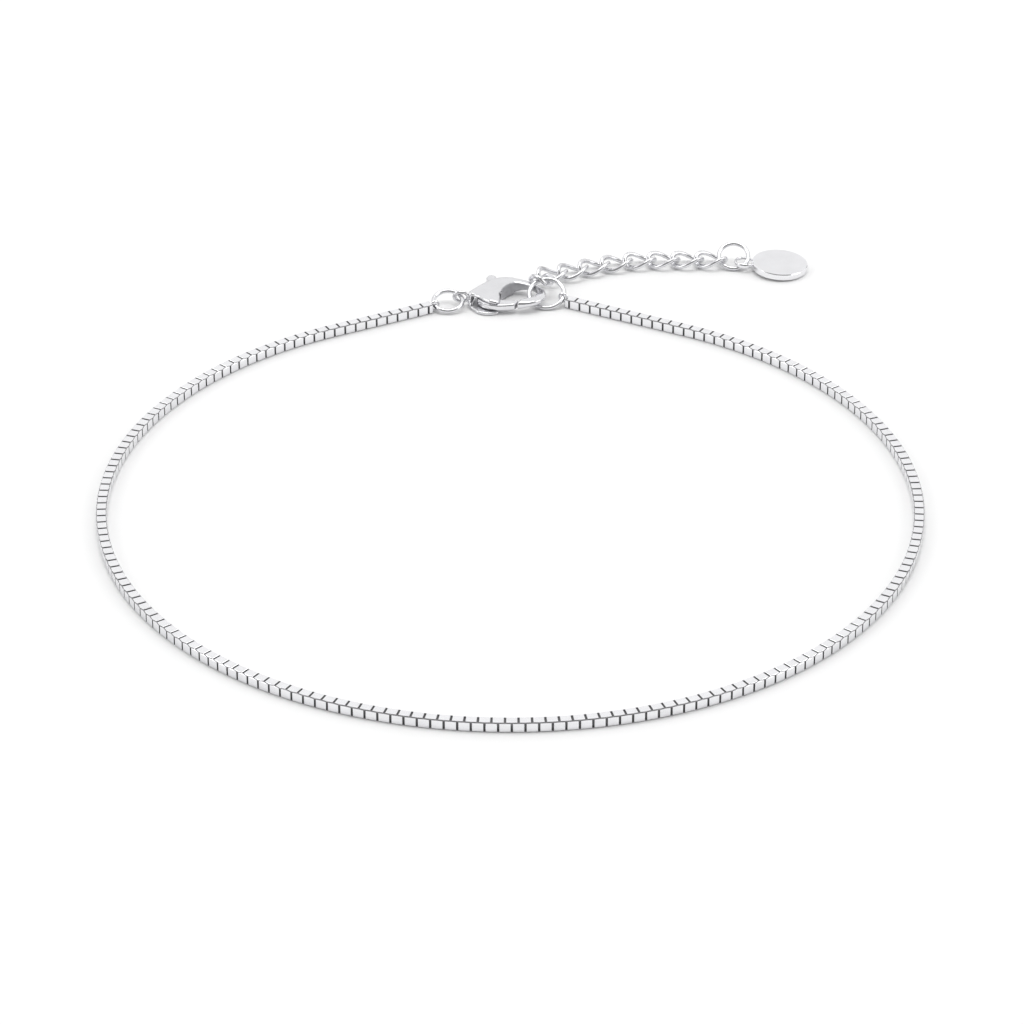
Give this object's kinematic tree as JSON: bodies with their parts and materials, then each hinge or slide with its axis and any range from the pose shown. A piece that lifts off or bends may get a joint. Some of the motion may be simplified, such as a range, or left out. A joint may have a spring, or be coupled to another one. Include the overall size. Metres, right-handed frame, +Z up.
{
  "type": "anklet",
  "caption": "Box-chain anklet that closes with a sprung lobster clasp on a jump ring, with a curb-link extender that ends in a small round tag.",
  "frame": {"origin": "bottom centre of the bounding box, on the table the anklet lies on", "axes": "+Z up from the table; +Y from the front of the loop towards the clasp and the extender; +X to the right when the clasp is at the back"},
  "size_m": [0.0744, 0.0862, 0.0024],
  "materials": {
    "polished_silver": "polished sterling silver",
    "satin_silver": "satin sterling silver with a polished rim"
  },
  "bodies": {
    "anklet": {"chain": "polished_silver", "jump_ring_clasp": "polished_silver", "clasp_body": "polished_silver", "jump_ring_extender": "polished_silver", "extender_link_1": "polished_silver", "extender_link_2": "polished_silver", "extender_link_3": "polished_silver", "extender_link_4": "polished_silver", "extender_link_5": "polished_silver", "extender_link_6": "polished_silver", "extender_link_7": "polished_silver", "extender_link_8": "polished_silver", "extender_link_9": "polished_silver", "jump_ring_tag": "polished_silver", "tag": "satin_silver"},
    "lever": {"clasp_lever": "polished_silver"}
  },
  "joints": [
    {"name": "clasp_lever_hinge", "type": "hinge", "parent": "anklet", "child": "lever", "pos_m": [-0.00234, 0.03261, 0.00075], "axis": [0, 0, 1], "range_deg": [0, 16], "stiffness_Nm_per_rad": 0.002}
  ]
}
